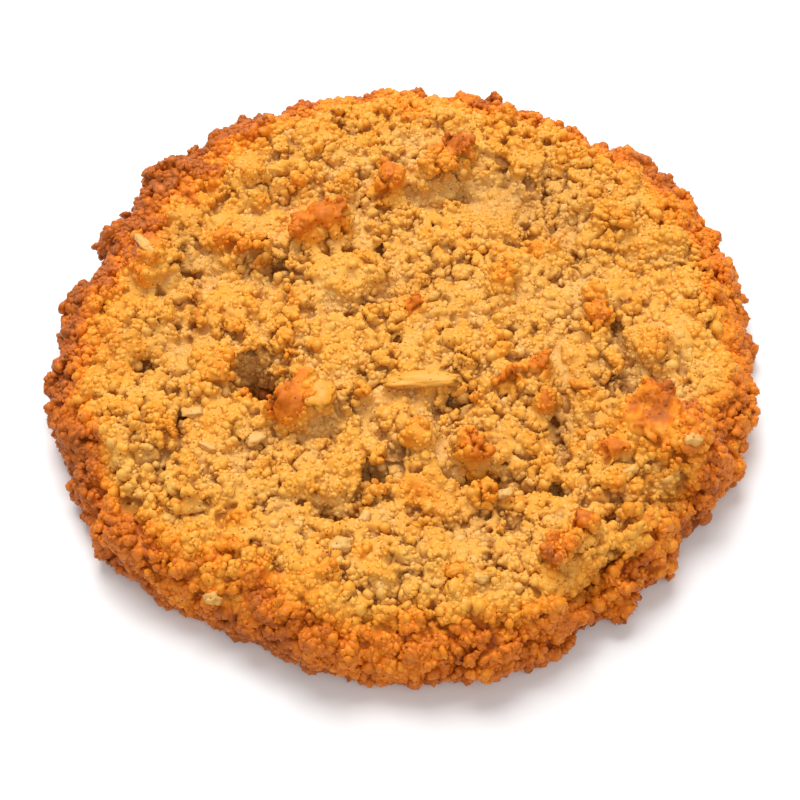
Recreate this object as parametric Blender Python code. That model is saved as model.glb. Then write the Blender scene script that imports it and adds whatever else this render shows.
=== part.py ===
"""Oat cookie: one baked solid, about 92 mm across and 15 mm thick at its highest crag.

A ball is drawn out into a thick round dough with a flat underside. Its top is then
raised and hollowed into the crags, valleys and cracks of a crumbly dough, and the
lumps that stand proud of it are fused on. Lengths are in millimetres up to the last
step, +X is the cookie's right, +Y its back and +Z up, and z = 0 is the underside.
"""

import math

import bmesh
import bpy
import numpy as np
from mathutils import Matrix, Vector, noise

MM = 0.001

# Driving dimensions
RADIUS = 44.8
THICKNESS = 10.8
WIDEST_AT = 3.4
UNDERCUT = 1.9
SHOULDER = 9.5

# Fineness of the dough before and after its flat stretches are thinned out
BALL_SUBDIVISIONS = 7
TRIANGLES_KEPT = 6900
LUMP_SUBDIVISIONS = 2
FLAT_WITHIN = 0.3

# How far the rim stands out from a true circle: direction, half width in degrees, rise
RIM_SWELLS = (
    (179, 11, 1.4),
    (162, 5, -1.9),
    (153, 6, 2.4),
    (138, 9, 0.9),
    (130, 12, 1.2),
    (95, 20, 0.5),
    (37, 12, 2.6),
    (10, 14, 1.2),
    (350, 8, 0.8),
    (339, 5, 1.3),
    (331, 4, -1.6),
    (313, 5, -0.4),
    (301, 4, -1.4),
    (286, 14, 1.4),
    (270, 9, 1.0),
    (254, 8, 0.6),
    (233, 10, 0.5),
    (217, 9, 3.0),
    (190, 9, 0.8),
)

# Raised crags: x, y, length, width, heading in degrees, rise
CRAGS = (
    (-11.2, 16.6, 9.5, 5.0, 25, 2.3),
    (-20.6, 13.8, 10.0, 5.5, -8, 1.5),
    (-17.5, 25.4, 11.0, 5.0, -8, 0.9),
    (-8.0, 23.8, 5.0, 5.0, 0, 1.0),
    (-1.8, 24.6, 6.0, 5.4, 70, 1.8),
    (5.6, 27.2, 11.0, 7.0, 35, 2.3),
    (-3.0, 36.0, 12.0, 5.0, 0, 0.5),
    (14.0, 28.4, 4.5, 4.0, 60, 0.6),
    (-7.5, 8.5, 14.0, 9.0, 5, 0.9),
    (0.0, -2.6, 31.0, 14.5, 0, 0.9),
    (-12.2, -11.2, 8.0, 6.5, 60, 1.1),
    (-6.3, -10.7, 5.0, 4.6, 0, 0.8),
    (2.8, -8.4, 11.0, 3.2, 0, 0.8),
    (15.6, -7.6, 8.0, 6.0, 35, 1.4),
    (17.6, -10.8, 4.4, 4.0, 80, 0.7),
    (2.0, -15.6, 5.2, 5.0, 0, 0.8),
    (8.4, -17.8, 7.0, 4.8, 85, 1.1),
    (32.0, -15.6, 16.0, 12.5, -30, 1.9),
    (32.6, -3.2, 8.5, 5.4, 0, 0.8),
    (27.6, 18.2, 9.0, 6.0, 80, 0.9),
    (24.6, 3.4, 9.0, 5.4, 85, 0.9),
    (12.8, 9.4, 6.5, 5.6, 60, 0.7),
    (18.0, 13.2, 5.0, 4.4, 0, 0.6),
    (-33.0, 10.0, 9.0, 8.0, 0, 0.9),
    (-32.0, -15.2, 11.0, 10.0, 0, 0.9),
    (-23.6, -5.6, 9.0, 6.0, 85, 0.9),
    (-24.0, -22.4, 13.0, 9.0, 0, 0.7),
    (-12.5, -21.4, 13.0, 9.5, 10, 0.8),
    (27.4, -28.2, 7.0, 4.2, 20, 0.9),
    (20.0, -30.6, 9.0, 5.0, 42, 1.3),
    (0.0, -35.0, 26.0, 8.0, 0, 0.6),
)

# Hollows between the crags: x, y, length, width, heading in degrees, depth
HOLLOWS = (
    (-18.3, -6.2, 9.5, 5.6, -75, 3.2),
    (-27.4, 11.0, 11.0, 4.0, -70, 1.8),
    (-18.2, 5.0, 13.0, 4.6, 85, 1.2),
    (-13.6, 21.4, 10.0, 4.4, 10, 1.0),
    (-25.5, 20.6, 10.0, 6.0, 10, 0.8),
    (14.6, 22.0, 13.0, 9.0, 10, 1.2),
    (8.8, 23.4, 5.4, 3.6, 30, 1.2),
    (3.0, 33.4, 16.0, 5.0, 0, 0.7),
    (2.0, 38.0, 4.4, 3.2, 0, 1.3),
    (20.0, 26.0, 9.0, 3.2, 100, 1.0),
    (21.8, 17.0, 10.0, 5.6, 80, 1.0),
    (33.4, 7.5, 13.0, 7.0, 80, 0.9),
    (19.6, -13.8, 11.0, 4.0, 82, 1.6),
    (25.4, -10.4, 8.0, 4.0, 65, 0.9),
    (-29.0, -1.0, 14.0, 4.4, 88, 0.8),
    (-32.2, -5.2, 2.8, 2.2, 0, 1.9),
    (-18.6, -17.2, 6.0, 5.0, 0, 0.8),
    (11.5, -28.0, 14.0, 6.4, 0, 0.9),
    (30.0, -24.6, 17.0, 3.8, 10, 1.4),
    (22.6, -35.0, 9.0, 3.6, 50, 1.2),
)

# Cracks where the dough has pulled apart: width, depth, then the points they run through
CRACKS = (
    (2.2, 1.9, (-9.7, -26.8), (-6.6, -26.2), (-5.0, -24.0), (-3.6, -21.3), (-1.6, -20.6)),
    (2.4, 1.9, (5.0, -20.4), (9.0, -21.0), (12.5, -21.4), (15.0, -22.0), (18.8, -23.2)),
    (2.0, 1.4, (27.2, 4.0), (27.6, 1.0), (28.4, -2.0), (28.6, -7.6)),
    (2.0, 1.3, (-27.3, -11.6), (-27.4, -15.0), (-27.2, -18.4), (-29.6, -20.6)),
)

# Lumps that stand out with an undercut: x, y, length, width, heading in degrees
LUMPS = (
    (-14.4, -12.4, 5.4, 4.6, 60),
    (-12.6, -9.0, 4.4, 3.8, 80),
    (-10.2, -11.8, 4.6, 4.6, 0),
    (-6.3, -10.7, 4.6, 3.8, -10),
    (-12.8, 16.2, 5.6, 3.8, 25),
    (-9.2, 17.8, 5.2, 3.6, 20),
    (-24.0, 15.0, 4.2, 3.4, -25),
    (-20.4, 12.8, 5.0, 3.6, -5),
    (-8.0, 23.8, 4.6, 4.2, 0),
    (-1.8, 25.2, 4.8, 4.0, 70),
    (7.4, 29.4, 5.4, 4.4, 45),
    (4.4, 26.8, 5.4, 4.0, 25),
    (1.3, 4.3, 3.0, 2.6, 80),
    (17.4, -6.2, 4.2, 3.2, 70),
    (13.2, -8.0, 4.2, 3.2, 0),
    (17.7, -10.8, 3.6, 2.8, 80),
    (8.5, -18.6, 4.6, 3.4, 85),
    (2.0, -15.6, 4.6, 4.2, 0),
    (31.2, -12.0, 6.4, 5.0, -20),
    (26.0, -18.2, 5.8, 4.4, 0),
    (35.8, -15.6, 5.0, 4.6, -50),
    (21.3, -29.2, 4.2, 3.4, 10),
    (18.2, -32.6, 4.6, 3.4, 45),
    (6.0, -35.2, 3.8, 2.6, 0),
    (27.4, 19.0, 4.8, 4.4, 60),
    (24.7, 2.7, 4.8, 3.2, 85),
    (12.8, 8.0, 4.6, 2.8, 85),
    (-32.8, 11.2, 5.0, 3.8, -50),
)
SUNK = 0.2

# Tufts of dough that break the rim's line: direction, distance out, height, size
RIM_TUFTS = (
    (47.0, 44.6, 6.6, 3.2),
    (38.4, 46.4, 6.4, 3.0),
    (120.0, 45.2, 6.4, 2.8),
    (77.7, 44.0, 6.4, 3.2),
    (320.5, 44.9, 3.6, 4.2),
    (304.9, 44.8, 2.8, 3.4),
    (268.0, 44.8, 2.8, 3.2),
    (220.2, 45.4, 3.0, 3.4),
    (209.7, 45.4, 3.6, 3.2),
    (180.0, 45.6, 4.4, 3.6),
    (150.0, 45.0, 4.6, 3.2),
    (350.0, 45.4, 4.2, 3.4),
)

# The unevenness that every crumbly dough has: size of a clump, and its rise
CLUMPS = ((7.2, 1.0), (3.6, 0.9))
CREASE_WIDTH = 0.55
DRIFT = ((9.0, 1.1), (3.2, 0.6))
DRIFT_SEED = 5
CRAG_EDGE = (0.62, 1.05)
HOLLOW_EDGE = (0.35, 1.1)
LUMP_ROUGHNESS = 0.6
LUMP_FLATNESS = 0.8

DOUGH_COLOUR = (0.66, 0.38, 0.13, 1.0)
DOUGH_ROUGHNESS = 0.78


def clear_scene():
    """Removes what the new file holds, and makes the collections for the cookie and its lumps."""
    for obj in list(bpy.data.objects):
        bpy.data.objects.remove(obj, do_unlink=True)
    made = []
    for name in ("oat_cookie", "fused_lumps"):
        collection = bpy.data.collections.new(name)
        bpy.context.scene.collection.children.link(collection)
        made.append(collection)
    return made


def baked_dough():
    """Golden brown, dry and matt."""
    material = bpy.data.materials.new("baked_dough")
    material.use_nodes = True
    shader = material.node_tree.nodes["Principled BSDF"]
    shader.inputs["Base Color"].default_value = DOUGH_COLOUR
    shader.inputs["Roughness"].default_value = DOUGH_ROUGHNESS
    shader.inputs["Metallic"].default_value = 0.0
    material.diffuse_color = DOUGH_COLOUR
    return material


def smooth_step(low, high, value):
    share = np.clip((value - low) / (high - low), 0.0, 1.0)
    return share * share * (3.0 - 2.0 * share)


def section():
    """The dough's half section from the middle of the top to the middle of the underside."""
    inner = RADIUS - SHOULDER
    bend = np.linspace(0.0, math.pi / 2, 60)
    top = np.stack([np.linspace(0.0, inner, 60), np.full(60, THICKNESS)], 1)
    shoulder = np.stack(
        [
            inner + SHOULDER * np.sin(bend) ** 0.9,
            WIDEST_AT + (THICKNESS - WIDEST_AT) * np.cos(bend) ** 0.9,
        ],
        1,
    )
    foot = np.stack(
        [
            RADIUS - UNDERCUT + UNDERCUT * np.cos(bend),
            WIDEST_AT * (1.0 - np.sin(bend)),
        ],
        1,
    )
    underside = np.stack([np.linspace(RADIUS - UNDERCUT, 0.0, 60), np.zeros(60)], 1)
    return np.concatenate([top, shoulder[1:], foot[1:], underside[1:]])


def drawn_out(directions):
    """Moves points on a unit ball to the dough's section, so that every face keeps a like area."""
    line = section()
    step = np.diff(line, axis=0)
    length = np.hypot(step[:, 0], step[:, 1])
    area = length * (line[:-1, 0] + line[1:, 0])
    share = np.concatenate([[0.0], np.cumsum(area)]) / area.sum()
    at = (1.0 - directions[:, 2]) / 2.0
    out = np.interp(at, share, line[:, 0])
    height = np.interp(at, share, line[:, 1])
    middle = (share[1:] + share[:-1]) / 2.0
    lean = np.interp(at, middle, -step[:, 1] / length)
    rise = np.interp(at, middle, step[:, 0] / length)
    return out, height, lean, rise


def rim_swell(angle):
    """How far the outline stands out at an angle, in millimetres."""
    degrees = np.degrees(angle) % 360.0
    swell = np.zeros_like(degrees)
    for direction, half_width, rise in RIM_SWELLS:
        apart = np.abs((degrees - direction + 180.0) % 360.0 - 180.0)
        swell += rise * np.exp(-((apart / half_width) ** 2))
    return swell


def drifted(points):
    """Points moved sideways by a slow noise, so that no edge runs straight."""
    noise.seed_set(DRIFT_SEED)
    moved = points.copy()
    for size, reach in DRIFT:
        moved += reach * np.array([noise.noise_vector(Vector(p) / size) for p in points])
    return moved


def mound(points, edge, x, y, length, width, heading):
    """1 over the middle of an oval of that size, and 0 past its edge."""
    turn = math.radians(heading)
    dx, dy = points[:, 0] - x, points[:, 1] - y
    along = dx * math.cos(turn) + dy * math.sin(turn)
    across = dy * math.cos(turn) - dx * math.sin(turn)
    away = np.hypot(along / (length / 2), across / (width / 2))
    return 1.0 - smooth_step(*edge, away)


def crack(points, width, stops):
    """1 along the line through the stops, and 0 half a width away from it."""
    nearest = np.full(len(points), np.inf)
    for start, end in zip(stops, stops[1:]):
        start, run = np.array(start), np.subtract(end, start)
        away = points[:, :2] - start
        along = np.clip(away @ run / (run @ run), 0.0, 1.0)
        nearest = np.minimum(nearest, np.hypot(*(away - along[:, None] * run).T))
    return 1.0 - smooth_step(0.15, 1.0, nearest / (width / 2))


def clumping(points):
    """The rise of the packed clumps at each point: round backs with creases between them."""
    rise = np.zeros(len(points))
    for size, height in CLUMPS:
        near = np.array([noise.voronoi(Vector(p) / size)[0][:2] for p in points])
        from_crease = np.clip((near[:, 1] - near[:, 0]) / CREASE_WIDTH, 0.0, 1.0)
        rise += height * (np.sqrt(from_crease) - 0.75)
    return rise


def top_relief(points):
    """The rise of the named crags, hollows and cracks at each point."""
    out = np.hypot(points[:, 0], points[:, 1])
    relief = 0.7 * np.exp(-(((out - 36.0) / 6.0) ** 2))
    relief -= 0.5 * np.exp(-(((out - 24.0) / 5.0) ** 2))
    for *place, rise in CRAGS:
        relief += rise * mound(points, CRAG_EDGE, *place)
    for *place, depth in HOLLOWS:
        relief -= depth * mound(points, HOLLOW_EDGE, *place)
    for width, depth, *stops in CRACKS:
        relief -= depth * crack(points, width, stops)
    return relief


def flatten_underside(mesh):
    """Sets the points that the thinning moved off the underside back on it, so that it rests flat."""
    for vertex in mesh.vertices:
        if vertex.co.z < FLAT_WITHIN:
            vertex.co.z = 0.0


def dough(collection, material):
    """The cookie's body: a ball drawn out to the section, roughened, and thinned where it is flat."""
    bpy.ops.mesh.primitive_ico_sphere_add(subdivisions=BALL_SUBDIVISIONS, radius=1.0)
    body = bpy.context.object
    body.name = "cookie"
    mesh = body.data
    mesh.name = "cookie"
    ball = np.empty(len(mesh.vertices) * 3, np.float32)
    mesh.vertices.foreach_get("co", ball)
    ball = ball.reshape(-1, 3).astype(float)
    ball /= np.linalg.norm(ball, axis=1)[:, None]

    angle = np.arctan2(ball[:, 1], ball[:, 0])
    out, height, lean, rise = drawn_out(ball)
    out = out * (RADIUS + rim_swell(angle)) / RADIUS
    place = np.stack([out * np.cos(angle), out * np.sin(angle), height], 1)

    wandering = drifted(place)
    on_top = smooth_step(5.0, THICKNESS - 1.0, height)
    relief = clumping(wandering) + on_top * top_relief(wandering)
    relief[height <= 0.0] = 0.0
    place[:, 0] += relief * lean * np.cos(angle)
    place[:, 1] += relief * lean * np.sin(angle)
    place[:, 2] += relief * rise
    place[:, 2] = np.where(height > 0.0, np.maximum(place[:, 2], 0.0), 0.0)
    mesh.vertices.foreach_set("co", place.astype(np.float32).ravel())
    mesh.update()

    thin_out = body.modifiers.new("thin_out_flat_stretches", "DECIMATE")
    thin_out.ratio = TRIANGLES_KEPT / len(mesh.polygons)
    thin_out.use_collapse_triangulate = True
    bpy.ops.object.modifier_apply(modifier=thin_out.name)
    flatten_underside(body.data)
    body.data.materials.append(material)
    for holder in list(body.users_collection):
        holder.objects.unlink(body)
    collection.objects.link(body)
    return body


def lump(collection, name, middle, size, heading):
    """One rough pebble of dough, sunk about halfway into the body."""
    mesh = bpy.data.meshes.new(name)
    work = bmesh.new()
    bmesh.ops.create_icosphere(work, subdivisions=LUMP_SUBDIVISIONS, radius=1.0)
    for vertex in work.verts:
        knobbly = noise.noise(vertex.co * 2.1 + Vector(middle))
        vertex.co *= 1.0 + LUMP_ROUGHNESS * knobbly
    bmesh.ops.scale(work, vec=Vector(size) / 2.0, verts=work.verts)
    turn = Matrix.Rotation(math.radians(heading), 3, "Z")
    bmesh.ops.rotate(work, matrix=turn, verts=work.verts)
    bmesh.ops.translate(work, vec=middle, verts=work.verts)
    work.to_mesh(mesh)
    work.free()
    collection.objects.link(bpy.data.objects.new(name, mesh))


def add_lumps(collection):
    """The lumps on the top and the tufts at the rim."""
    beds = np.array([(x, y, THICKNESS) for x, y, *_ in LUMPS])
    heights = THICKNESS + top_relief(beds)
    for number, (x, y, length, width, heading) in enumerate(LUMPS):
        middle = (x, y, heights[number] - SUNK * width)
        size = (length, width, width * LUMP_FLATNESS)
        lump(collection, f"lump_{number}", middle, size, heading)
    for number, (direction, out, height, size) in enumerate(RIM_TUFTS):
        turn = math.radians(direction)
        reach = out - 0.35 * size
        middle = (reach * math.cos(turn), reach * math.sin(turn), height)
        lump(collection, f"tuft_{number}", middle, (size * 1.3, size, size), direction)


def fuse(body, collection):
    """Joins the lumps to the body as one solid, and removes them."""
    join = body.modifiers.new("fuse_lumps", "BOOLEAN")
    join.operation = "UNION"
    join.operand_type = "COLLECTION"
    join.collection = collection
    join.solver = "MANIFOLD"
    bpy.context.view_layer.update()
    with bpy.context.temp_override(object=body, active_object=body):
        bpy.ops.object.modifier_apply(modifier=join.name)
    for obj in list(collection.objects):
        bpy.data.objects.remove(obj, do_unlink=True)
    bpy.data.collections.remove(collection)


def to_metres(body):
    """Scales the finished solid, sets its underside on z = 0 and its box's middle on the axis."""
    mesh = body.data
    place = np.empty(len(mesh.vertices) * 3, np.float32)
    mesh.vertices.foreach_get("co", place)
    place = place.reshape(-1, 3)
    middle = (place.min(axis=0) + place.max(axis=0)) / 2.0
    place -= (middle[0], middle[1], place[:, 2].min())
    mesh.vertices.foreach_set("co", (place * MM).ravel())
    mesh.shade_smooth()
    mesh.set_sharp_from_angle(angle=math.radians(50))
    mesh.update()


def main():
    cookie_collection, lump_collection = clear_scene()
    body = dough(cookie_collection, baked_dough())
    add_lumps(lump_collection)
    fuse(body, lump_collection)
    to_metres(body)


main()
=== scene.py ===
# %% [markdown]
# # An oat cookie, dressed for its portrait
#
# A crumbly oat cookie is dough that never melted flat: coarse oat meal and flour, bound
# with butter and sugar, that baked as it was pressed. Three things make it look real.
# It is rough at every scale, from crags of 10 mm down to grains of under 1 mm. It is
# browned by heat, so that whatever stands proud is darker than whatever lies low. And
# its gaps are warm, because light that bounces between crumbs comes out golden.
#
# The solid model already has the crags. This lesson adds the broken plates of dough,
# the clumps, the grains, the oat pieces and the browning.

import math

import bmesh
import bpy
import numpy as np
from mathutils import Matrix, Vector, noise


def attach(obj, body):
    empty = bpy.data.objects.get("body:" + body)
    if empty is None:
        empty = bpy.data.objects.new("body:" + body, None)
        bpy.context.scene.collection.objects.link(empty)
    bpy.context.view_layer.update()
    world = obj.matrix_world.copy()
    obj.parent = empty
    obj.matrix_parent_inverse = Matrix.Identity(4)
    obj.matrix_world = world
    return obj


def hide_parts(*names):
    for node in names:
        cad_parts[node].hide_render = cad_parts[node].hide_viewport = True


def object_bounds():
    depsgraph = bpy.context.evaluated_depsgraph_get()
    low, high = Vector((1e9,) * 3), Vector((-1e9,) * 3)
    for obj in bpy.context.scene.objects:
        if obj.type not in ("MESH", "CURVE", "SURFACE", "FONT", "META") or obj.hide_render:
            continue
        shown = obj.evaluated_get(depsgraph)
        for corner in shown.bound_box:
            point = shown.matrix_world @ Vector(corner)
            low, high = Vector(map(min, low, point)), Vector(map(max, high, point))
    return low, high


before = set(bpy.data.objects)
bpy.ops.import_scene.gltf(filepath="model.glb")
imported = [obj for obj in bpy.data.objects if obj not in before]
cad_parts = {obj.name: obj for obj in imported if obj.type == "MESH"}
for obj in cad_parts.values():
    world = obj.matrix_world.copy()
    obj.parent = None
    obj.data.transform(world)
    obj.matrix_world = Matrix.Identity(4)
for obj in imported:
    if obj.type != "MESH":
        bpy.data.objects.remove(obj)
solid_low, solid_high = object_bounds()
MM = 0.001
TOP = solid_high[2] / MM
print("solid, mm:", [round((high - low) / MM, 1) for low, high in zip(solid_low, solid_high)])

# %% [markdown]
# ## The view
#
# The cookie is seen from above at a steep angle, as one looks at a plate on a table. A
# long lens keeps the far rim nearly as large as the near one. The camera is built first,
# because it says which details are large enough to be worth making: here 1 mm of cookie
# is 8 pixels of picture.

# %% Camera
CAMERA_ELEVATION = math.radians(56.0)
CAMERA_DISTANCE = 0.2413
LENS_MM = 85.0
AIM = Vector((-0.0002, -0.0069, 0.005))
SEEN_FROM = 0.01

camera = bpy.data.objects.new("camera", bpy.data.cameras.new("camera"))
bpy.context.scene.collection.objects.link(camera)
bpy.context.scene.camera = camera
back = Vector((0.0, -math.cos(CAMERA_ELEVATION), math.sin(CAMERA_ELEVATION)))
camera.location = AIM + back * CAMERA_DISTANCE
camera.rotation_euler = (-back).to_track_quat("-Z", "Y").to_euler()
camera.data.lens = LENS_MM
camera.data.clip_start = SEEN_FROM
print("camera height, mm:", round(camera.location.z / MM, 1))

# %% [markdown]
# ## Tools for a mesh of many points
#
# A crust has hundreds of thousands of points, too many to move one by one in Python, so
# they are read into an array, moved together and written back. The array is kept in
# millimetres, because every size below is one that a ruler would give.

# %% Helpers that read and write a mesh as arrays
def places(mesh):
    """The mesh's points, in millimetres."""
    flat = np.empty(len(mesh.vertices) * 3, np.float32)
    mesh.vertices.foreach_get("co", flat)
    return flat.reshape(-1, 3).astype(float) / MM


def set_places(mesh, points):
    """Moves the mesh's points to these, given in millimetres."""
    mesh.vertices.foreach_set("co", (points * MM).astype(np.float32).ravel())
    mesh.update()


def facings(mesh):
    """The direction that the surface faces at each point."""
    flat = np.empty(len(mesh.vertices) * 3, np.float32)
    mesh.vertex_normals.foreach_get("vector", flat)
    return flat.reshape(-1, 3).astype(float)


def relaxed(mesh, points, rounds):
    """Points after each has moved to the middle of its neighbours that many times."""
    ends = np.empty(len(mesh.edges) * 2, np.int32)
    mesh.edges.foreach_get("vertices", ends)
    one, other = ends.reshape(-1, 2).T
    here, there = np.concatenate([one, other]), np.concatenate([other, one])
    neighbours = np.bincount(here, minlength=len(points))
    for _ in range(rounds):
        sums = [np.bincount(here, points[there, axis], len(points)) for axis in range(3)]
        points = np.stack(sums, 1) / neighbours[:, None]
    return points


def bake_modifiers(obj):
    """Gives an object the mesh that its modifiers make, and takes them off."""
    bpy.context.view_layer.update()
    evaluated = obj.evaluated_get(bpy.context.evaluated_depsgraph_get())
    mesh = bpy.data.meshes.new_from_object(evaluated)
    obj.modifiers.clear()
    obj.data = mesh


def squared(obj, size, rounds):
    """Remeshes an object in even squares of that size, and relaxes them a little."""
    remesh = obj.modifiers.new("squares", "REMESH")
    remesh.mode = "VOXEL"
    remesh.voxel_size = size * MM
    remesh.use_smooth_shade = True
    relax = obj.modifiers.new("relax", "SMOOTH")
    relax.factor = 0.5
    relax.iterations = rounds
    bake_modifiers(obj)
    print("squares of", size, "mm:", len(obj.data.vertices), "points")


def smooth_step(low, high, value):
    """0 up to low, 1 from high on, and a soft slope between them."""
    share = np.clip((value - low) / (high - low), 0.0, 1.0)
    return share * share * (3.0 - 2.0 * share)


# %% [markdown]
# ## Noise with a size in millimetres
#
# Two kinds are enough. Soft noise rolls up and down. Cellular noise scatters seeds and
# gives each point to its nearest one, as grains and broken plates do, and each seed has
# a random number of its own, so that neighbours differ.

# %% Soft noise, wandering and cells
# Places far apart in the noise, so that x, y and z wander each in its own way.
APART = (11.3, 37.7, 71.9)
# Any large uneven numbers will do: they turn a seed's place into a number of its own.
SCRAMBLE, SCRAMBLE_MORE = (12.99, 78.23, 37.72), 43758.5


def rough(points, size, shift=0.0):
    """Soft noise, from about -0.7 to 0.7, whose waves are about that many millimetres long."""
    return np.fromiter(map(noise.noise, (points / size + shift).tolist()), float, len(points))


def wandered(points, size, reach):
    """Points shifted sideways by soft noise, so that no edge runs straight."""
    return points + reach * np.stack([rough(points, size, shift) for shift in APART], 1)


def cells(points, size):
    """The distance to the nearest seed and to the next one, and the nearest seed's own number."""
    found = [noise.voronoi(point) for point in (points / size).tolist()]
    near, following, *seed = np.array([(*far[:2], *seeds[0]) for far, seeds in found]).T
    mixed = sum(where * factor for where, factor in zip(seed, SCRAMBLE))
    own = np.modf(np.abs(np.sin(mixed)) * SCRAMBLE_MORE)[0]
    return near, following, own


# %% [markdown]
# ## The solid becomes a skin
#
# The solid's triangles are over 2 mm long, too coarse for crumb. A copy of it is turned
# into even squares of half a millimetre by a voxel remesh. Subdividing would keep the
# long thin triangles of the solid, and moving their points would fold them.

# %% Turn a copy of the solid into a skin of even squares
COARSE_SQUARE = 0.5

crust = bpy.data.objects.new("crust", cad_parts["cookie"].data.copy())
bpy.context.scene.collection.objects.link(crust)
work = bmesh.new()
work.from_mesh(crust.data)
bmesh.ops.remove_doubles(work, verts=work.verts, dist=1e-6)
work.to_mesh(crust.data)
work.free()
squared(crust, COARSE_SQUARE, rounds=4)

# %% [markdown]
# ## Broken plates
#
# Dry dough doesn't rise smoothly. It tears into plates that sit at slightly different
# heights, with ragged cliffs between them. Giving each cell of a cellular noise its own
# height draws that. Then come the tears, plates and hollows that this cookie has, which
# a random rule would never put in the right place.

# %% Tears: width, depth, then the points that each runs through
TEARS = (
    (1.7, 1.9, (-9.7, -26.8), (-8.0, -26.0), (-6.2, -26.3),
     (-5.0, -24.0), (-3.8, -21.4), (-1.6, -20.6)),
    (1.8, 2.0, (5.0, -20.4), (8.6, -20.9), (11.0, -21.2), (14.7, -22.0), (18.8, -23.2)),
    (1.3, 1.4, (27.2, 4.0), (27.6, 1.0), (28.4, -2.0), (28.0, -5.0), (28.6, -7.7)),
    (1.3, 1.4, (-27.3, -11.6), (-27.4, -15.0), (-27.2, -18.4), (-29.6, -20.6)),
    (1.8, 1.5, (22.8, -27.8), (26.8, -25.0), (31.3, -24.8), (36.0, -22.6)),
    (1.4, 1.4, (19.2, -10.6), (19.0, -13.4), (20.2, -16.2), (20.4, -19.0)),
    (1.0, 1.1, (11.8, 13.8), (12.2, 11.8), (13.4, 9.4), (15.2, 6.6)),
    (1.1, 1.3, (-9.7, 3.2), (-6.9, 3.1), (-4.1, 5.2), (-1.9, 5.2)),
    (1.1, 1.1, (5.4, -6.8), (7.6, -7.1), (8.6, -9.0), (6.2, -10.8)),
    (1.1, 1.0, (1.2, -27.0), (3.6, -26.2), (6.2, -27.9)),
    (1.4, 1.3, (25.8, -31.4), (22.4, -34.3), (19.6, -37.2)),
    (1.2, 1.1, (-17.4, -30.6), (-15.8, -31.6), (-14.2, -34.4)),
    (1.0, 1.0, (10.5, -30.2), (10.9, -32.0), (11.3, -34.4), (8.8, -35.8)),
    (1.0, 1.0, (0.6, -12.2), (4.0, -13.2), (4.8, -16.2)),
    (1.0, 1.1, (9.9, -13.4), (10.8, -15.6), (12.6, -16.4)),
    (1.2, 1.0, (-28.8, 15.0), (-27.6, 11.6), (-26.2, 7.4), (-26.8, 2.0)),
    (1.1, 0.9, (-19.0, 9.0), (-18.4, 4.6), (-18.0, 0.4)),
    (1.1, 1.0, (20.6, 29.0), (19.6, 25.6), (19.4, 22.4)),
    (1.2, 1.0, (-37.6, -12.0), (-37.4, -17.0), (-35.6, -20.4)),
    (1.0, 0.9, (-12.6, -14.6), (-9.4, -15.4), (-7.4, -13.2), (-8.2, -9.6)),
    (1.0, 0.9, (-5.4, 20.4), (-3.4, 19.4), (-0.8, 19.8)),
    (1.1, 1.0, (2.6, 22.6), (5.6, 22.4), (9.0, 23.6)),
)
print("tears:", len(TEARS))

# %% Plates: x, y, length, width, heading, rise
PLATES = (
    (-11.4, 16.8, 9.6, 4.6, 27, 0.9),
    (-21.0, 13.6, 9.0, 4.6, -8, 0.8),
    (-17.6, 25.6, 10.0, 4.0, -8, 0.7),
    (-8.0, 23.8, 4.6, 4.4, 0, 0.7),
    (-1.6, 24.8, 5.6, 4.6, 70, 0.8),
    (5.8, 27.4, 10.0, 5.4, 36, 0.9),
    (14.0, 28.2, 4.4, 2.4, 75, 0.7),
    (-7.0, 9.4, 12.0, 7.4, 8, 0.7),
    (-11.4, -0.6, 9.0, 5.6, 20, 0.6),
    (0.0, -2.4, 12.0, 6.6, 0, 0.5),
    (9.6, -1.6, 9.0, 7.0, -15, 0.6),
    (-12.6, -10.9, 7.0, 5.6, 65, 0.8),
    (-6.3, -10.6, 4.4, 4.0, 0, 0.7),
    (15.6, -7.4, 7.4, 4.6, 35, 0.8),
    (17.6, -11.0, 4.0, 2.6, 85, 0.6),
    (24.6, 3.0, 8.4, 4.4, 85, 0.7),
    (13.0, 8.4, 6.0, 4.4, 70, 0.6),
    (32.4, -3.0, 8.0, 4.6, -5, 0.7),
    (27.6, 18.4, 8.0, 5.0, 80, 0.7),
    (31.6, -14.6, 12.0, 7.4, -30, 0.6),
    (8.3, -17.6, 6.4, 4.2, 85, 0.8),
    (2.0, -15.6, 4.6, 4.6, 20, 0.8),
    (12.4, -18.2, 4.4, 3.0, 0, 0.6),
    (-8.6, -22.0, 9.0, 6.0, 20, 0.6),
    (-16.0, -22.4, 7.0, 7.0, 0, 0.5),
    (-24.6, -22.0, 10.0, 7.0, -10, 0.6),
    (-32.2, -15.0, 9.6, 8.0, 10, 0.7),
    (-23.6, -5.4, 8.4, 5.2, 85, 0.8),
    (-34.0, -2.0, 6.0, 4.0, 0, 0.6),
    (-33.0, 10.4, 7.0, 5.0, -50, 0.7),
    (27.4, -28.2, 6.6, 3.4, 18, 0.8),
    (19.8, -30.8, 8.4, 3.8, 44, 0.8),
    (24.2, -21.6, 6.4, 4.0, 0, 0.6),
    (2.0, -32.6, 9.0, 5.0, 0, 0.5),
    (-9.0, -33.0, 7.0, 6.0, 0, 0.5),
    (3.4, 9.0, 4.6, 4.6, 0, 0.5),
    (1.3, 4.3, 2.8, 2.6, 0, 1.0),
    (24.4, 22.6, 6.0, 4.4, -20, 0.6),
    (38.0, 2.0, 6.0, 8.0, 0, 0.5),
)
print("plates:", len(PLATES))

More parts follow.
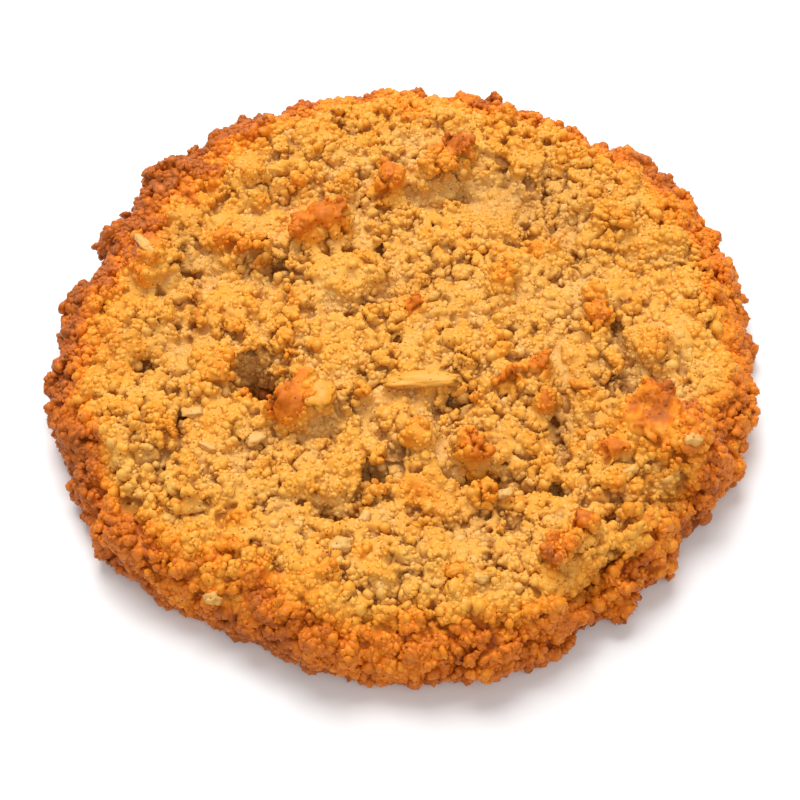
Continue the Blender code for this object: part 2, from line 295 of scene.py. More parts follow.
# %% Hollows: x, y, length, width, heading, depth
HOLLOWS = (
    (-18.3, -6.0, 7.6, 3.8, -72, 3.2),
    (-16.7, -8.8, 2.8, 2.2, -60, 1.4),
    (-32.2, -5.2, 2.8, 2.0, 0, 2.0),
    (-3.6, -21.2, 3.8, 2.6, -15, 2.2),
    (11.2, -21.2, 5.0, 1.9, -8, 1.6),
    (18.8, -23.2, 2.0, 1.6, 0, 1.4),
    (20.2, -18.6, 2.2, 2.0, 0, 1.5),
    (28.6, -7.6, 2.2, 1.8, 0, 1.5),
    (-4.2, 5.2, 2.6, 1.6, 0, 1.5),
    (-6.9, 3.2, 2.2, 1.4, 15, 1.5),
    (-3.0, 13.7, 1.8, 1.2, 0, 1.3),
    (-2.7, 18.2, 2.2, 2.0, 0, 1.2),
    (1.0, 9.5, 1.6, 1.3, 0, 1.3),
    (7.7, 12.8, 1.6, 1.4, 0, 1.0),
    (12.2, 11.9, 2.6, 1.3, 100, 1.2),
    (3.6, 0.2, 1.8, 1.3, 0, 1.1),
    (9.4, 1.0, 2.6, 1.2, 10, 1.0),
    (6.2, -10.9, 3.2, 1.6, 10, 1.4),
    (9.9, -14.3, 2.0, 1.6, 0, 1.5),
    (-27.3, -14.9, 2.2, 1.4, 80, 1.5),
    (-18.8, -20.2, 1.8, 1.4, 0, 1.2),
    (-21.0, -17.7, 1.6, 1.4, 0, 0.9),
    (-14.4, -34.3, 2.2, 1.6, 70, 1.5),
    (-17.4, -30.7, 2.0, 1.4, 0, 1.2),
    (-24.1, -32.7, 2.6, 2.0, 0, 1.1),
    (10.5, -30.4, 2.0, 1.6, 80, 1.4),
    (11.3, -34.4, 2.0, 1.3, 20, 1.2),
    (2.4, -26.3, 2.2, 1.5, 0, 1.4),
    (6.1, -27.9, 1.8, 1.4, 0, 1.2),
    (13.6, -27.9, 2.2, 1.7, 0, 1.4),
    (2.6, 37.0, 3.4, 2.0, 0, 1.3),
    (14.4, 26.0, 1.8, 1.6, 0, 1.2),
    (19.4, 23.2, 2.2, 1.3, 95, 1.2),
    (26.6, 22.0, 1.4, 1.3, 0, 1.0),
    (29.1, 21.8, 1.4, 1.2, 0, 1.0),
    (27.4, 2.1, 2.2, 1.3, 80, 1.3),
    (34.7, -1.0, 1.6, 1.2, 0, 1.0),
    (39.1, -9.3, 1.6, 1.2, 0, 1.0),
    (22.4, -37.1, 2.6, 1.6, 50, 1.2),
    (-7.6, -29.6, 1.6, 1.2, 0, 0.8),
    (-9.7, -26.8, 2.2, 1.4, 0, 1.1),
    (-17.0, 11.6, 5.0, 1.8, 20, 1.4),
    (8.8, 23.6, 3.6, 1.8, 25, 1.2),
    (-10.0, 1.0, 1.4, 1.2, 0, 0.9),
    (16.0, 3.0, 1.6, 1.3, 0, 0.9),
    (33.6, 8.2, 1.6, 1.2, 0, 0.9),
)
print("hollows:", len(HOLLOWS))

# %% Where the rim stands further out or in: direction in degrees, half its width, millimetres
RIM_SHIFTS = (
    (18, 5, 0.6),
    (35, 6, -0.4),
    (45, 3, 0.4),
    (58, 7, -1.2),
    (82, 5, -0.4),
    (103, 4, 0.4),
    (131, 4, -1.6),
    (139, 3, 1.1),
    (149, 4, -2.7),
    (176, 6, -1.1),
    (198, 7, 1.3),
    (212, 3, -1.3),
    (232, 7, 0.2),
    (257, 4, 0.9),
    (268, 4, -0.2),
    (278, 4, 0.3),
    (290, 6, 0.7),
    (299, 4, 0.3),
    (315, 4, 0.6),
    (323, 3, -2.1),
    (332, 4, 1.3),
    (341, 5, -1.2),
    (350, 4, 0.3),
    (359, 4, -0.4),
)
print("shifts of the rim:", len(RIM_SHIFTS))

# %% The shapes of a tear, a plate and a hollow, and what changes round the rim
# Where each is whole and where it ends, as shares of its half width.
TEAR_EDGE, PLATE_EDGE, HOLLOW_EDGE = (0.1, 1.0), (0.86, 1.0), (0.5, 1.1)


def round_rim(points, changes):
    """The sum of changes that are each strongest in one direction from the middle."""
    heading = np.degrees(np.arctan2(points[:, 1], points[:, 0]))
    total = np.zeros(len(points))
    for direction, half, change in changes:
        away = (heading - direction + 180.0) % 360.0 - 180.0
        total += change * np.exp(-((away / half) ** 2))
    return total


def tear(points, width, stops):
    """1 along the line through the stops, and 0 half a width away from it."""
    nearest = np.full(len(points), np.inf)
    for start, end in zip(stops, stops[1:]):
        start, run = np.array(start), np.subtract(end, start)
        away = points[:, :2] - start
        along = np.clip(away @ run / (run @ run), 0.0, 1.0)
        nearest = np.minimum(nearest, np.hypot(*(away - along[:, None] * run).T))
    return 1.0 - smooth_step(*TEAR_EDGE, nearest / (width / 2))


def oval(points, edge, x, y, length, width, heading=0.0):
    """1 inside an oval of that size, falling to 0 between the two shares given as its edge."""
    turn = math.radians(heading)
    dx, dy = points[:, 0] - x, points[:, 1] - y
    along = dx * math.cos(turn) + dy * math.sin(turn)
    across = dy * math.cos(turn) - dx * math.sin(turn)
    return 1.0 - smooth_step(*edge, np.hypot(along / (length / 2), across / (width / 2)))


def sunken(points):
    """How deep the named tears and hollows are at each point."""
    depths = np.zeros(len(points))
    for *place, depth in HOLLOWS:
        depths += depth * oval(points, HOLLOW_EDGE, *place)
    for width, depth, *stops in TEARS:
        depths += depth * tear(points, width, stops)
    return depths


# %% Break the skin into plates
# Size of the plates and how far they differ in height, for the large and the small ones.
PLATE_SIZES = ((7.5, 0.9), (3.3, 0.65))
# The crease between two plates: its depth as a share of that height, and its width.
CREASE_DEPTH, CREASE_WIDTH = 0.7, 0.14
# How far the skin is sunk to make room for grains, and what a side has of it less.
GRAIN_ROOM, LESS_AT_SIDE = 0.35, 0.15
# Heights over which changes set in, and values of the facing's z that count as top.
OFF_BASE, FACES_UP = (0.3, 1.4), (0.2, 0.7)
# Size and reach of the wandering that makes the plates' edges ragged, coarse then fine.
RAGGED = ((3.4, 1.2), (1.2, 0.5))
# Distances from the middle between which the rim's shifts set in.
SHIFTED_RIM = (30.0, 42.0)
# Grains will stand on the skin, so it stays this far below the solid's highest crag.
BELOW_TOP = 0.8

skin, facing = places(crust.data), facings(crust.data)
baked = smooth_step(*OFF_BASE, skin[:, 2])
upward = smooth_step(*FACES_UP, facing[:, 2])
ragged = skin
for size, reach in RAGGED:
    ragged = wandered(ragged, size, reach)

lift = np.zeros(len(skin))
for size, height in PLATE_SIZES:
    near, following, own = cells(ragged, size)
    lift += height * (own - 0.5)
    lift -= CREASE_DEPTH * height * (1.0 - smooth_step(0.0, CREASE_WIDTH, following - near))
for *place, rise in PLATES:
    lift += rise * upward * oval(ragged, PLATE_EDGE, *place)
lift -= upward * sunken(ragged)
lift -= GRAIN_ROOM - LESS_AT_SIDE * (1.0 - upward)
skin += facing * (lift * baked)[:, None]
out_at = np.hypot(skin[:, 0], skin[:, 1])
shift = round_rim(skin, RIM_SHIFTS) * smooth_step(*SHIFTED_RIM, out_at)
skin[:, :2] *= (1.0 + shift / np.maximum(out_at, 1.0))[:, None]
skin[:, 2] = np.minimum(skin[:, 2], TOP - BELOW_TOP)
skin[:, 2] = np.maximum(skin[:, 2], 0.0)
set_places(crust.data, skin)
print("plates, mm:", round(lift.min(), 2), "to", round(lift.max(), 2))

# %% [markdown]
# ## Clumps
#
# Between the plates the dough is clumps of 1 to 3 mm, pressed together, with dark gaps
# and small overhangs that moving a skin up and down can't make. So knobbly balls are
# scattered over the skin, half sunk, and the next remesh melts them into it, as it
# makes one skin round everything that overlaps.
#
# Blender's operators make the two shapes that are scattered. An operator copies one
# shape at a time, and tens of thousands are needed, so an array copies their points.

# %% Two plain shapes, and many knobbly copies of one
# How far a copy is stretched along each of its axes, at least and at most.
STRETCH = (0.6, 1.35)
LOWEST_CRUMB = 0.15


def shape_of(work):
    """The points and faces of a shape, pushed out to a ball of radius 1."""
    for vertex in work.verts:
        vertex.co.normalize()
    points = np.array([vertex.co for vertex in work.verts])
    faces = np.array([[vertex.index for vertex in face.verts] for face in work.faces])
    work.free()
    return points, faces


work = bmesh.new()
bmesh.ops.create_cube(work, size=2.0)
bmesh.ops.subdivide_edges(work, edges=work.edges, cuts=1, use_grid_fill=True)
ROUND = shape_of(work)
work = bmesh.new()
bmesh.ops.create_icosphere(work, subdivisions=1, radius=1.0)
ANGULAR = shape_of(work)
print("faces of the round and the angular shape:", len(ROUND[1]), len(ANGULAR[1]))


def any_turns(draw, count):
    """Random rotations, as matrices."""
    w, x, y, z = (turn := draw.normal(size=(count, 4))).T / np.linalg.norm(turn, axis=1)
    rows = (
        (1 - 2 * (y * y + z * z), 2 * (x * y - w * z), 2 * (x * z + w * y)),
        (2 * (x * y + w * z), 1 - 2 * (x * x + z * z), 2 * (y * z - w * x)),
        (2 * (x * z - w * y), 2 * (y * z + w * x), 1 - 2 * (x * x + y * y)),
    )
    return np.array(rows).transpose(2, 0, 1)


def triangles(mesh):
    """How many triangles the mesh's faces make."""
    return sum(len(face.vertices) - 2 for face in mesh.polygons)


def crumbs(name, shape, centres, radii, knobs, draw):
    """A mesh with one knobbly, squashed and turned copy of a shape at each centre."""
    corners, faces = shape
    count = len(centres)
    spread = corners[None] * (1.0 + draw.normal(0.0, knobs, (count, len(corners), 1)))
    spread = spread * draw.uniform(*STRETCH, (count, 1, 3)) * radii[:, None, None]
    spread = np.einsum("nij,nkj->nki", any_turns(draw, count), spread) + centres[:, None, :]
    spread[:, :, 2] = np.clip(spread[:, :, 2], LOWEST_CRUMB, TOP)
    faces = faces[None] + len(corners) * np.arange(count)[:, None, None]
    faces = faces.reshape(-1, faces.shape[2])
    mesh = bpy.data.meshes.new(name)
    mesh.from_pydata((spread.reshape(-1, 3) * MM).tolist(), [], faces.tolist())
    print(name, count, "crumbs,", triangles(mesh), "triangles")
    return mesh


# %% Scatter points evenly over the crust
# Of this many tries for each point wanted, each cube of space keeps only the first.
TRIES = 5


def scatter(mesh, spacing, draw):
    """Points spread over a mesh about that many millimetres apart, and the way each faces."""
    mesh.calc_loop_triangles()
    corners = np.empty(len(mesh.loop_triangles) * 3, np.int32)
    mesh.loop_triangles.foreach_get("vertices", corners)
    points, facing = places(mesh), facings(mesh)
    corners = corners.reshape(-1, 3)
    a, b, c = (points[corners[:, i]] for i in range(3))
    area = np.linalg.norm(np.cross(b - a, c - a), axis=1) / 2.0
    count = int(area.sum() / spacing**2 * TRIES)
    chosen = draw.choice(len(area), count, p=area / area.sum())
    u, v = draw.random(count), draw.random(count)
    over = u + v > 1.0
    u[over], v[over] = 1.0 - u[over], 1.0 - v[over]
    at = a[chosen] + u[:, None] * (b - a)[chosen] + v[:, None] * (c - a)[chosen]
    _, first = np.unique(np.floor(at / spacing).astype(int), axis=0, return_index=True)
    first.sort()
    return at[first], facing[corners[chosen[first], 0]]


# %% Melt clumps into the skin
# Spacing, least and most radius, how far each is sunk as a share of its radius.
CLUMP_KINDS = (
    (4.6, 1.2, 2.0, 0.72),
    (2.6, 0.7, 1.2, 0.60),
    (1.7, 0.45, 0.8, 0.50),
)
CLUMPS_SEED, CLUMP_KNOBS = 40, 0.1
# They crowd in crumbly stretches and at the rim, from here to there.
CRUMBLY_SIZE, CRUMBLY_FROM = 7.0, 0.05
CRUMBLY_RIM, MORE_AT_RIM = (36.0, 42.0), 0.35
# They stay off the base, off the highest crag and out of the named hollows.
CLUMPS_ABOVE, CLUMPS_BELOW_TOP, CLUMPS_SUNKEN = 1.0, 1.2, 0.2
FINE_SQUARE = 0.28

both = bmesh.new()
both.from_mesh(crust.data)
for number, (spacing, least, most, sunk) in enumerate(CLUMP_KINDS):
    draw = np.random.default_rng(CLUMPS_SEED + number)
    at, out = scatter(crust.data, spacing, draw)
    crumbly = rough(at, CRUMBLY_SIZE) + draw.uniform(-0.4, 0.4, len(at))
    crumbly += MORE_AT_RIM * smooth_step(*CRUMBLY_RIM, np.hypot(at[:, 0], at[:, 1]))
    usable = (at[:, 2] > CLUMPS_ABOVE) & (at[:, 2] < TOP - CLUMPS_BELOW_TOP)
    usable &= (crumbly > CRUMBLY_FROM) & (sunken(at) < CLUMPS_SUNKEN)
    at, out = at[usable], out[usable]
    radii = draw.uniform(least, most, len(at))
    centres = at - out * (sunk * radii)[:, None]
    clumps = crumbs(f"clumps_{number}", ROUND, centres, radii, CLUMP_KNOBS, draw)
    both.from_mesh(clumps)
    bpy.data.meshes.remove(clumps)
both.to_mesh(crust.data)
both.free()
squared(crust, FINE_SQUARE, rounds=2)

# %% [markdown]
# ## Grains
#
# Up close the whole crust is grains of oat meal, each about a millimetre across and
# half sunk in its neighbours. Each cell of a fine cellular noise is lifted to a dome as
# wide as its own number says. Where two small grains meet, neither dome fills the gap,
# and that leaves the pin holes that dot the crumb. Wider pits, and crevices that part
# the crumbs, are sunk where another noise says so.

# %% Raise the grains
# Spacing and rise in millimetres, over the top, at the rim and of the meal on both.
TOP_GRAINS, RIM_GRAINS, MEAL = (0.86, 0.21), (1.15, 0.30), (0.5, 0.06)
# A dome's radius as a share of the spacing: the least, and what its own number adds.
LEAST_DOME, MORE_DOME = 0.70, 0.45


def domes(points, size):
    """The height of each point on its grain, from 0 in the gaps to 1, and the grain's number."""
    near, _, own = cells(points, size)
    reach = LEAST_DOME + MORE_DOME * own
    return np.sqrt(np.clip(1.0 - (near / reach) ** 2, 0.0, 1.0)), own


# Size of the crumbs that crevices part, and where a crevice is whole and where it ends.
CREVICE_SIZE, CREVICE_EDGE = 2.9, (0.02, 0.14)
CREVICE_WANDERS = (1.6, 0.5)
CREVICE_DEPTH = 1.0
# Size of the pits, and the noise at which they begin to open and are fully open.
PIT_SIZE, PIT_EDGE = 1.7, (0.18, 0.32)
# Size of the open stretches that have them, and the noise from which a stretch has them.
CREVICE_STRETCH, CREVICES_FROM = 5.5, (-0.15, 0.25)
PIT_STRETCH, PITS_FROM = 7.0, (-0.25, 0.2)


def porous(points):
    """How open the crumb is at each point, from 0 on a plate to 1 in a pit or a crevice."""
    near, following, _ = cells(wandered(points, *CREVICE_WANDERS), CREVICE_SIZE)
    crevice = 1.0 - smooth_step(*CREVICE_EDGE, following - near)
    crevice *= smooth_step(*CREVICES_FROM, rough(points, CREVICE_STRETCH, shift=3.1))
    pit = smooth_step(*PIT_EDGE, rough(points, PIT_SIZE, shift=8.3))
    pit *= smooth_step(*PITS_FROM, rough(points, PIT_STRETCH, shift=5.7))
    return np.maximum(crevice, pit)


# Heights over which the grains set in, and distances over which the rim's take over.
GRAINS_OFF_BASE, GRAINY_RIM = (0.2, 0.9), (37.0, 42.0)
# Reach and size of the wandering of that edge, and size and reach of the grains' own.
RIM_WANDERS, GRAINS_WANDER = (3.0, 5.0), (1.3, 0.35)
# The rise differs between stretches of this size: its mean, and the noise's share in it.
RISE_STRETCH, MEAN_RISE, RISE_CHANGE = 6.0, 0.9, 0.7

skin, facing = places(crust.data), facings(crust.data)
baked = smooth_step(*GRAINS_OFF_BASE, skin[:, 2])
openness = porous(skin)
out_at = np.hypot(skin[:, 0], skin[:, 1])
at_rim = smooth_step(*GRAINY_RIM, out_at + RIM_WANDERS[0] * rough(skin, RIM_WANDERS[1]))
curled = wandered(skin, *GRAINS_WANDER)
top_dome, top_own = domes(curled, TOP_GRAINS[0])
rim_dome, rim_own = domes(curled, RIM_GRAINS[0])
meal_dome, _ = domes(curled, MEAL[0])
dome = top_dome + (rim_dome - top_dome) * at_rim
own = np.where(at_rim > 0.5, rim_own, top_own)
rise = TOP_GRAINS[1] * top_dome * (1.0 - at_rim) + RIM_GRAINS[1] * rim_dome * at_rim
rise += MEAL[1] * meal_dome - 0.5 * TOP_GRAINS[1]
rise *= MEAN_RISE + RISE_CHANGE * np.clip(rough(skin, RISE_STRETCH), -0.5, 0.5)
rise -= CREVICE_DEPTH * openness
skin += facing * (rise * baked)[:, None]
skin[:, 2] = np.maximum(skin[:, 2], 0.0)
set_places(crust.data, skin)
print("grain rise, mm:", round(rise.min(), 2), "to", round(rise.max(), 2))

# %% [markdown]
# ## Where the oven browned it
#
# Browning follows heat. Crags that stand proud of their surroundings dry and darken
# first, the rim browns from the side and from the tray, and the valleys stay the
# colour of dough. How proud a point stands is its height above the mean height of the
# 5 mm around it, which a small height map gives. The toasted crests that the cookie
# shows are then added by name. The result is one number for each point, from 0, raw
# dough, to 1, dark crust, and every material reads it.

# %% A map of the cookie's heights, sharp and blurred
MAP_CELL, MAP_HALF = 0.5, 50.0
MAP_SIZE = int(2 * MAP_HALF / MAP_CELL)
# How far round a point its height is compared, wide and near.
WIDE, NEAR = 5.0, 1.8


def map_cell(places_xy):
    """The row and column of the map for places given by x and y."""
    return ((places_xy + MAP_HALF) / MAP_CELL).astype(int).T


def height_map(points):
    """The highest point in each cell over the cookie, and 0 beyond it."""
    heights = np.zeros((MAP_SIZE, MAP_SIZE))
    np.maximum.at(heights, tuple(map_cell(points[:, :2])), points[:, 2])
    return heights


def blurred(heights, radius):
    """The mean height within about that many millimetres."""
    waves = np.fft.fftfreq(MAP_SIZE, d=MAP_CELL)
    finer = waves[:, None] ** 2 + waves[None, :] ** 2
    falloff = np.exp(-2.0 * (math.pi * radius / 2.0) ** 2 * finer)
    return np.real(np.fft.ifft2(np.fft.fft2(heights) * falloff))


def mean_level(heights, radius):
    """The mean height within that many millimetres, of the cookie alone."""
    covered = blurred((heights > 0.0).astype(float), radius)
    return blurred(heights, radius) / np.maximum(covered, 0.05)


def proud(points, level):
    """How far points stand above the mean height around them."""
    return points[:, 2] - level[tuple(map_cell(points[:, :2]))]


heights = height_map(skin)
wide_level, near_level = mean_level(heights, WIDE), mean_level(heights, NEAR)
print("highest place on the map, mm:", round(heights.max(), 2))

# %% Toasted crests: x, y, reach in millimetres, strength, which is below 0 for a paler place
TOASTED = (
    (-12.4, 17.2, 2.6, 0.42),
    (-9.6, 18.0, 2.2, 0.42),
    (-8.2, 16.8, 2.0, 0.2),
    (-24.1, 15.2, 1.7, 0.4),
    (-21.0, 13.2, 3.0, 0.1),
    (-1.8, 25.6, 2.0, 0.42),
    (-2.8, 23.6, 2.0, 0.3),
    (7.4, 29.6, 2.6, 0.48),
    (5.4, 31.0, 1.8, 0.26),
    (1.4, 38.0, 1.8, 0.42),
    (1.3, 4.3, 1.4, 0.7),
    (-14.6, -12.6, 1.8, 0.5),
    (-12.7, -9.2, 1.8, 0.42),
    (-12.6, -12.4, 1.8, 0.3),
    (17.4, -6.3, 1.7, 0.52),
    (13.0, -8.0, 1.9, 0.4),
    (17.7, -10.8, 1.5, 0.4),
    (8.4, -16.8, 1.8, 0.34),
    (8.8, -19.6, 1.8, 0.3),
    (1.2, -22.8, 2.0, 0.3),
    (31.2, -11.8, 3.4, 0.44),
    (28.6, -14.0, 3.0, 0.26),
    (36.2, -14.8, 2.6, 0.34),
    (25.8, -18.2, 1.8, 0.42),
    (31.0, -17.6, 3.4, 0.26),
    (37.0, -20.6, 3.0, 0.24),
    (21.3, -29.2, 1.5, 0.54),
    (18.4, -32.4, 2.0, 0.44),
    (16.9, -34.8, 1.6, 0.36),
    (6.1, -35.2, 1.3, 0.42),
    (13.6, 31.2, 1.2, 0.26),
    (24.7, 3.0, 1.8, 0.3),
    (24.4, 0.4, 1.4, 0.24),
    (12.7, 7.6, 1.4, 0.26),
    (3.6, 8.2, 1.3, 0.18),
    (18.0, 13.2, 1.5, 0.2),
    (-12.4, 3.2, 2.0, 0.16),
    (-31.3, 12.2, 2.0, 0.2),
    (-35.0, 7.0, 2.0, 0.2),
    (-20.2, -27.4, 2.4, 0.28),
    (-21.6, -32.1, 2.0, 0.3),
    (-13.0, -37.2, 4.0, 0.06),
    (-4.7, -32.4, 1.8, 0.16),
    (-30.8, -27.7, 2.6, 0.16),
    (-17.4, -34.0, 2.6, 0.16),
    (-38.0, -20.0, 3.0, 0.14),
    (-38.6, 10.4, 4.6, 0.44),
    (-34.8, 18.8, 5.2, 0.46),
    (-29.4, 27.0, 5.0, 0.46),
    (-22.0, 33.2, 4.4, 0.4),
    (-13.6, 38.0, 3.6, 0.26),
    (-42.0, -1.0, 4.4, 0.24),
    (-41.0, -14.5, 3.4, 0.16),
    (28.0, -33.0, 4.0, 0.14),
    (36.0, -26.0, 3.0, 0.14),
    (35.0, 26.6, 3.6, 0.3),
    (10.0, 41.0, 3.0, 0.26),
    (30.6, -24.4, 4.0, 0.2),
    (-17.8, -37.4, 4.4, 0.22),
    (-26.0, -30.4, 4.0, 0.14),
    (3.0, -38.5, 7.0, -0.16),
    (14.0, -37.0, 5.0, -0.08),
)
print("toasted crests:", len(TOASTED))

# %% Stretches that lie in soft shade: x, y, reach in millimetres, strength
SHADED = (
    (16.6, 22.0, 6.0, 0.2),
    (20.8, 15.2, 3.4, 0.08),
    (-30.4, 16.6, 4.0, 0.22),
    (21.6, -12.8, 4.4, 0.18),
    (22.6, -6.0, 3.0, 0.1),
    (-34.0, -2.2, 4.6, 0.12),
    (-27.6, 1.0, 4.0, 0.08),
    (3.0, 7.4, 4.0, 0.12),
    (3.4, -25.8, 4.0, 0.12),
    (31.0, -24.6, 4.0, 0.12),
    (-17.8, -37.4, 4.0, 0.12),
)
print("shaded stretches:", len(SHADED))

# %% How the rim's browning differs: direction in degrees, half its width, change
RIM_TOAST = (
    (0, 28, -0.09),
    (148, 28, 0.2),
    (186, 14, 0.06),
    (228, 22, -0.06),
    (264, 22, 0.02),
    (312, 22, -0.06),
)
print("stretches of the rim:", len(RIM_TOAST))

# %% The browning of any point
# The open top: its mean, and the size and strength of the slow and the quick changes.
MEAN_BROWN = 0.27
SLOW_SIZE, SLOW_CHANGE = 9.0, 0.15
QUICK_SIZE, QUICK_CHANGE = 2.6, 0.12
# What each millimetre above the surroundings adds, and how many millimetres count.
PROUD_WIDE, MOST_WIDE = 0.10, 1.6
PROUD_NEAR, MOST_NEAR = 0.12, 0.9
PROUD_FADES = (36.0, 42.0)
# Towards the rim: distances from the middle, and what is added between them.
SHOULDER, SHOULDER_BROWN = (31.0, 40.0), 0.05
EDGE, EDGE_BROWN = (38.8, 43.5), 0.40
RIM_DIFFERS = (33.0, 40.0)
# Reach and size of these distances' wandering.
RIM_WAVERS = (2.0, 6.0)
# Near the tray: heights between which its heat fades, and what it adds.
TRAY_HEAT, TRAY_BROWN = (1.0, 5.5), 0.12
# How strongly toasted crests count, and how unevenly.
TOASTED_SHARE, EVEN_SHARE, UNEVEN_SHARE = 0.85, 0.9, 0.8
# The most brown, and distances over which the rim's limit sets in.
MOST_BROWN_ON_TOP, MOST_BROWN_AT_RIM, MOST_BROWN_FROM = 0.72, 0.86, (31.0, 36.0)


def spots(points, listed):
    """The sum of soft round spots, each given by its x, y, reach and strength."""
    total = np.zeros(len(points))
    for x, y, reach, strength in listed:
        away = np.hypot(points[:, 0] - x, points[:, 1] - y) / reach
        total += strength * np.exp(-(away**2))
    return total


def browning(points):
    """How brown the crust is at each point, from 0 for raw dough to 1 for dark crust."""
    slow = rough(points, SLOW_SIZE)
    quick = rough(points, QUICK_SIZE)
    wavering = np.hypot(points[:, 0], points[:, 1])
    wavering += RIM_WAVERS[0] * rough(points, RIM_WAVERS[1])
    standing = PROUD_WIDE * np.clip(proud(points, wide_level), -MOST_WIDE, MOST_WIDE)
    standing += PROUD_NEAR * np.clip(proud(points, near_level), -MOST_NEAR, MOST_NEAR)
    brown = MEAN_BROWN + SLOW_CHANGE * slow + QUICK_CHANGE * quick
    brown += standing * (1.0 - smooth_step(*PROUD_FADES, wavering))
    at_edge = smooth_step(*EDGE, wavering)
    brown += SHOULDER_BROWN * smooth_step(*SHOULDER, wavering) + EDGE_BROWN * at_edge
    brown += round_rim(points, RIM_TOAST) * smooth_step(*RIM_DIFFERS, wavering)
    brown += TRAY_BROWN * (1.0 - smooth_step(*TRAY_HEAT, points[:, 2]))
    brown += TOASTED_SHARE * spots(points, TOASTED) * (EVEN_SHARE + UNEVEN_SHARE * quick)
    more_at_rim = (MOST_BROWN_AT_RIM - MOST_BROWN_ON_TOP) * smooth_step(*MOST_BROWN_FROM, wavering)
    return np.clip(brown, 0.0, MOST_BROWN_ON_TOP + more_at_rim)


def add_number(mesh, name, values):
    """Stores one number for each point of a mesh, for its material to read."""
    attribute = mesh.attributes.new(name, "FLOAT", "POINT")
    attribute.data.foreach_set("value", values.astype(np.float32))


# %% Give the skin its browning, its painted shade and its grains' own tones
# Painted shade, which darkens the colour where shade falls: some everywhere, more between
# domes, for each millimetre of dent beyond the least and up to the most, for each millimetre
# of a named hollow, and in pits and crevices.
PAINTED_SHADE_EVERYWHERE, PAINTED_SHADE_BETWEEN_DOMES = 0.10, 0.18
PAINTED_SHADE_IN_DENT, LEAST_DENT, MOST_DENT = 1.4, 0.02, 0.2
PAINTED_SHADE_IN_HOLLOW, MOST_HOLLOW = 0.28, 2.6
PAINTED_SHADE_IN_PIT = 0.4
# Toasted crests are close, so they have this share less painted shade.
LESS_WHERE_TOASTED = 0.6

facing = facings(crust.data)
dent = np.einsum("ij,ij->i", relaxed(crust.data, skin, rounds=3) - skin, facing)
# Painted shade: darker between grains, in dents, hollows, pits and crevices, and in shaded
# stretches.
painted_shade = PAINTED_SHADE_EVERYWHERE + PAINTED_SHADE_BETWEEN_DOMES * (1.0 - dome) ** 1.4
painted_shade += PAINTED_SHADE_IN_DENT * np.clip(dent - LEAST_DENT, 0.0, MOST_DENT)
painted_shade += PAINTED_SHADE_IN_HOLLOW * np.clip(sunken(skin), 0.0, MOST_HOLLOW) + PAINTED_SHADE_IN_PIT * openness
painted_shade *= 1.0 - LESS_WHERE_TOASTED * np.clip(spots(skin, TOASTED), 0.0, 1.0)
painted_shade += spots(skin, SHADED)
painted_shade = np.clip(painted_shade, 0.0, 1.0) * baked
brown = browning(skin)
add_number(crust.data, "brown", brown)
add_number(crust.data, "painted_shade", painted_shade)
add_number(crust.data, "tone", own)
print("browning, mean and most:", round(brown.mean(), 2), round(brown.max(), 2))
print("gap, mean:", round(painted_shade.mean(), 2))

# %% [markdown]
# ## Four pieces of one crust
#
# A piece is best kept under 200,000 triangles, and this skin has far more, so it is cut
# along circles into the middle of the top, the ring round it, the side and the base.
# Flat stretches, which is most of the base, are thinned out first.

# %% Thin out what is flat, and cut the skin into pieces
THINNED_TO = 0.86
RING_FROM, SIDE_FROM, SIDE_BELOW, BASE_BELOW = 27.0, 38.5, 6.0, 0.4

thin_out = crust.modifiers.new("thin_out", "DECIMATE")
thin_out.ratio = THINNED_TO
bake_modifiers(crust)


def region(face):
    """Which piece of the crust a face belongs to."""
    middle = face.calc_center_median() / MM
    if middle.z < BASE_BELOW and face.normal.z < -0.5:
        return "crust_base"
    out = middle.xy.length
    if out > SIDE_FROM or (out > RING_FROM and middle.z < SIDE_BELOW):
        return "crust_side"
    return "crust_ring" if out > RING_FROM else "crust_middle"


work = bmesh.new()
work.from_mesh(crust.data)
regions = [region(face) for face in work.faces]
crust_pieces = []
for name in ("crust_middle", "crust_ring", "crust_side", "crust_base"):
    part = work.copy()
    part.faces.ensure_lookup_table()
    others = [face for face, where in zip(part.faces, regions) if where != name]
    bmesh.ops.delete(part, geom=others, context="FACES")
    mesh = bpy.data.meshes.new(name)
    part.to_mesh(mesh)
    part.free()
    mesh.shade_smooth()
    piece = bpy.data.objects.new(name, mesh)
    bpy.context.scene.collection.objects.link(piece)
    crust_pieces.append(piece)
    print(name, triangles(mesh), "triangles")
work.free()

# %% [markdown]
# ## The crumb itself
#
# Up close a baked oat crumb is grains of meal and flour, pressed together like couscous,
# with air between them. Painted on, they would have no edges, so they are made: over
# twenty-five thousand of them, from 0.6 to 1.7 mm across, half sunk in the skin, coarse
# ones and fine ones. Where the dough was pressed flat they sit deep, and where it tore
# they stand out.

# %% Spread the grains
# Name, shape, spacing, least and most radius, share sunk, whether at the rim, most of them.
CRUMB_KINDS = (
    ("coarse_grains", ROUND, 1.35, 0.46, 0.76, 0.56, False, 4000),
    ("fine_grains", ANGULAR, 0.85, 0.30, 0.50, 0.34, False, 9900),
    ("rim_grains", ROUND, 1.20, 0.48, 0.84, 0.50, True, 4000),
    ("rim_meal", ANGULAR, 0.80, 0.30, 0.52, 0.30, True, 9900),
)
GRAINS_SEED, GRAIN_KNOBS = 100, 0.12
# The rim is all that lies this far out or this low.
RIM_FROM, RIM_BELOW = 36.5, 5.5
LOWEST_GRAIN = 0.7
# How open the crumb may be where a grain sits, on the skin and in a named hollow.
OPEN_TO, OPEN_TO_IN_HOLLOW, IN_HOLLOW = 0.4, 0.9, 0.8
# Size of the stretches where the dough was pressed, and the noise over which they set in.
PRESSED_SIZE, PRESSED_FROM = 6.5, (-0.25, 0.25)
# How much deeper grains are sunk there, over the top and at the rim.
SUNK_DEEPER = {False: 0.42, True: 0.15}
# Above 1: small grains outnumber large ones.
MOSTLY_SMALL = 1.5
# Crests toasted more than this are bare.
BARE_CREST = 0.30
